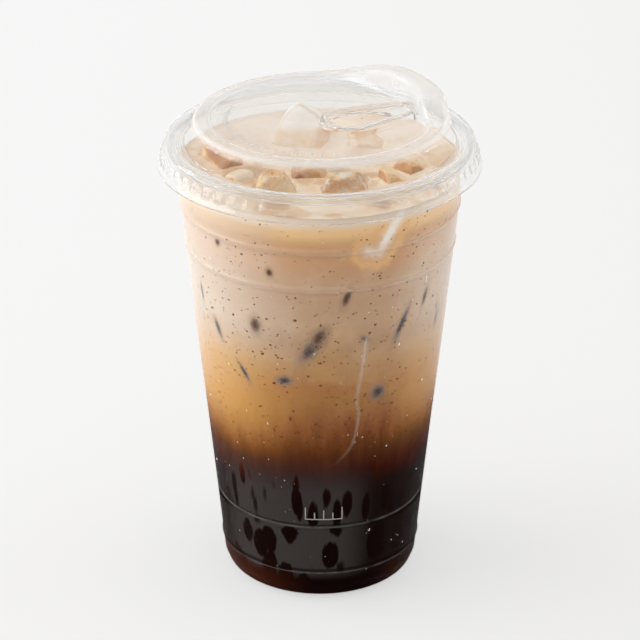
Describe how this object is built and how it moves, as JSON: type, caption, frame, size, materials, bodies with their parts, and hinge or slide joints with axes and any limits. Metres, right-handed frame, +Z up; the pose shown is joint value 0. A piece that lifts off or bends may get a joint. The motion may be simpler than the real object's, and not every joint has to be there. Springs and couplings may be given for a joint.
{
  "type": "iced horchata cold brew in a lidded cup",
  "caption": "Iced horchata cold brew in a clear tapered cup with a clear raised sip lid: dark coffee at the base blends up into pale horchata, with ice poking through the surface.",
  "frame": {"origin": "centre of the cup's base, on the surface it stands on", "axes": "+Z up along the cup's axis; +X to the side where the lid's sip spout rises"},
  "size_m": [0.1048, 0.1048, 0.1669],
  "materials": {
    "clear_cup_plastic": "clear, glossy",
    "clear_lid_plastic": "clear, glossy",
    "cold_brew_coffee": "dark liquid behind clear plastic",
    "coffee_and_horchata": "brown liquid where the layers blend",
    "horchata_drink": "opaque pale tan liquid with cinnamon specks",
    "ice": "wet, melted edges"
  },
  "bodies": {
    "root": {"cup": "clear_cup_plastic", "lid": "clear_lid_plastic", "cold_brew": "cold_brew_coffee", "blended_layer": "coffee_and_horchata", "horchata": "horchata_drink", "ice_back": "ice", "ice_left": "ice", "ice_left_low": "ice", "ice_front_left": "ice", "ice_front_centre": "ice", "ice_front_right": "ice", "ice_right": "ice", "ice_far_right": "ice", "ice_centre": "ice"}
  },
  "joints": []
}
